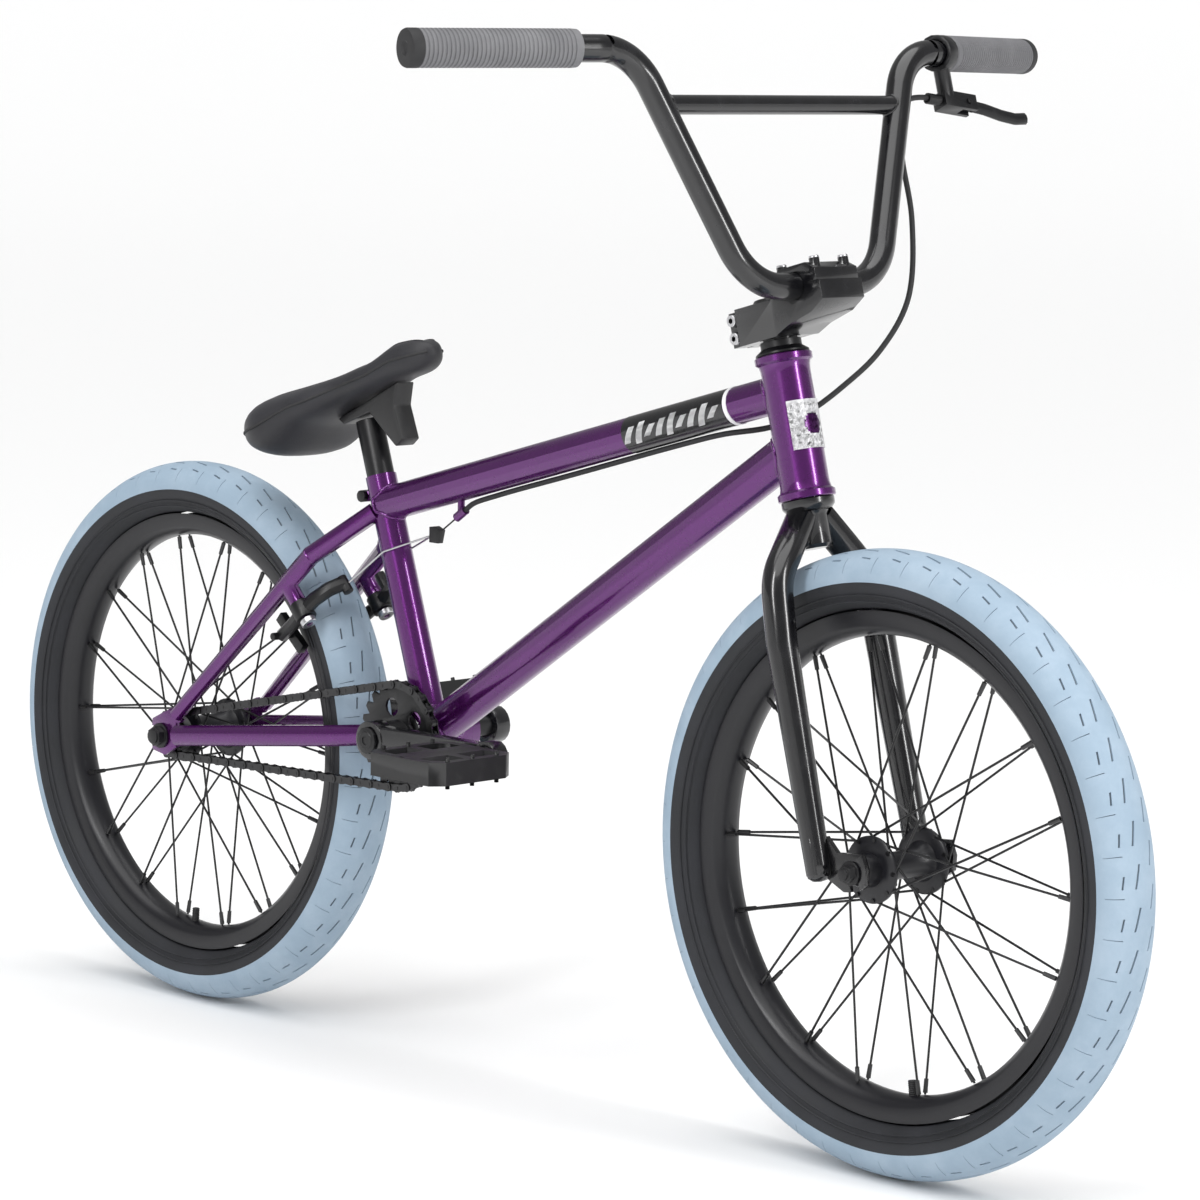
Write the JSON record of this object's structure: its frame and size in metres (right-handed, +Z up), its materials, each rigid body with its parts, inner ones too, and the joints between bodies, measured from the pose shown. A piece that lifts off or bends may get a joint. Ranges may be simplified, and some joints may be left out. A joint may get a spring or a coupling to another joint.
{
  "type": "freestyle bmx bicycle",
  "caption": "Freestyle BMX bicycle with a steel diamond frame, high-rise handlebar, fat street tyres, chain drive and a rear rim brake worked from a bar lever.",
  "frame": {"origin": "on the ground, midway between the two axles", "axes": "+X forward, +Y to the rider's left, +Z up"},
  "size_m": [1.406, 0.7316, 0.9247],
  "materials": {
    "frame_paint": "candy purple metallic paint",
    "black_gloss": "gloss black paint",
    "black_satin": "satin black coating",
    "rim_black": "black anodised",
    "black_plastic": "moulded black plastic",
    "steel": "bare steel",
    "tyre": "light blue-grey rubber tread",
    "tube_rubber": "black rubber",
    "grip_rubber": "ribbed mid-grey rubber",
    "seat_cloth": "black padded cover"
  },
  "bodies": {
    "frame": {"head_tube": "frame_paint", "upper_headset_bearing": "steel", "lower_headset_bearing": "steel", "top_tube": "frame_paint", "down_tube": "frame_paint", "seat_tube": "frame_paint", "seat_clamp_bolt": "black_satin", "chainstay_left": "frame_paint", "chainstay_right": "frame_paint", "seatstay_left": "frame_paint", "seatstay_right": "frame_paint", "dropout_left": "frame_paint", "dropout_right": "frame_paint", "bottom_bracket_shell": "frame_paint", "bracket_bearing_left": "steel", "bracket_bearing_right": "steel", "rear_axle": "black_satin", "chain": "black_satin", "brake_cable": "black_plastic"},
    "steering": {"fork_steerer": "black_gloss", "fork_leg_left": "black_gloss", "fork_leg_right": "black_gloss", "headset_cover": "black_satin", "stem_body": "black_gloss", "stem_cap": "black_gloss", "steerer_cap": "black_satin", "handlebar": "black_gloss", "grip_left": "grip_rubber", "grip_right": "grip_rubber", "front_axle": "black_satin", "lever_bracket": "black_satin"},
    "lever": {"brake_lever": "black_satin"},
    "front_wheel": {"front_tyre": "tyre", "front_inner_tube": "tube_rubber", "front_rim": "rim_black", "front_spokes_left": "black_satin", "front_spokes_right": "black_satin", "front_hub": "rim_black"},
    "rear_wheel": {"rear_tyre": "tyre", "rear_inner_tube": "tube_rubber", "rear_rim": "rim_black", "rear_spokes_left": "black_satin", "rear_spokes_right": "black_satin", "rear_hub": "rim_black"},
    "driver": {"driver_cog": "steel"},
    "crank": {"crank_spindle": "black_satin", "sprocket": "black_satin", "crank_arm_left": "black_gloss", "crank_arm_right": "black_gloss", "pedal_axle_left": "steel", "pedal_axle_right": "steel"},
    "left_pedal": {"pedal_left": "black_plastic"},
    "right_pedal": {"pedal_right": "black_plastic"},
    "left_brake": {"brake_arm_left": "black_satin"},
    "right_brake": {"brake_arm_right": "black_satin"},
    "hanger": {"straddle_hanger": "black_satin", "straddle_wire": "steel"},
    "seat": {"seat_post": "black_satin", "seat_pad": "seat_cloth", "seat_base": "black_plastic"}
  },
  "joints": [
    {"name": "steer", "type": "hinge", "parent": "frame", "child": "steering", "pos_m": [0.3206, 0, 0.604], "axis": [-0.2588, 0, 0.9659], "range_deg": [-80, 80], "deforming": ["brake_cable"]},
    {"name": "front_wheel_spin", "type": "hinge", "parent": "steering", "child": "front_wheel", "pos_m": [0.445, 0, 0.258], "axis": [0, 1, 0], "continuous": true},
    {"name": "rear_wheel_spin", "type": "hinge", "parent": "frame", "child": "rear_wheel", "pos_m": [-0.445, 0, 0.258], "axis": [0, 1, 0], "continuous": true},
    {"name": "crank_spin", "type": "hinge", "parent": "frame", "child": "crank", "pos_m": [-0.118, 0, 0.297], "axis": [0, 1, 0], "continuous": true},
    {"name": "driver_spin", "type": "hinge", "parent": "frame", "child": "driver", "pos_m": [-0.445, 0, 0.258], "axis": [0, 1, 0], "continuous": true},
    {"name": "left_pedal_spin", "type": "hinge", "parent": "crank", "child": "left_pedal", "pos_m": [-0.26995, 0, 0.29302], "axis": [0, 1, 0], "continuous": true},
    {"name": "right_pedal_spin", "type": "hinge", "parent": "crank", "child": "right_pedal", "pos_m": [0.03395, 0, 0.30098], "axis": [0, 1, 0], "continuous": true},
    {"name": "lever_pull", "type": "hinge", "parent": "steering", "child": "lever", "pos_m": [0.28975, 0.232, 0.86594], "axis": [0.9038, -0.0647, 0.4231], "range_deg": [0, 16], "stiffness_Nm_per_rad": 0.5},
    {"name": "left_brake_pivot", "type": "hinge", "parent": "frame", "child": "left_brake", "pos_m": [-0.26805, 0.0465, 0.42014], "axis": [0.6756, 0, -0.7373], "range_deg": [-1.7, 0]},
    {"name": "right_brake_pivot", "type": "hinge", "parent": "frame", "child": "right_brake", "pos_m": [-0.26805, -0.0465, 0.42014], "axis": [0.6756, 0, -0.7373], "range_deg": [0, 1.7]},
    {"name": "hanger_pull", "type": "slide", "parent": "frame", "child": "hanger", "axis": [0.8271, 0, 0.5621], "range_m": [0, 0.00135]},
    {"name": "seat_height", "type": "slide", "parent": "frame", "child": "seat", "axis": [-0.319, 0, 0.9478], "range_m": [-0.02, 0.05]}
  ],
  "couplings": [
    {"joint": "driver_spin", "follows": "crank_spin", "ratio": 2.5556},
    {"joint": "left_brake_pivot", "follows": "lever_pull", "ratio": -0.105},
    {"joint": "right_brake_pivot", "follows": "lever_pull", "ratio": 0.105}
  ]
}
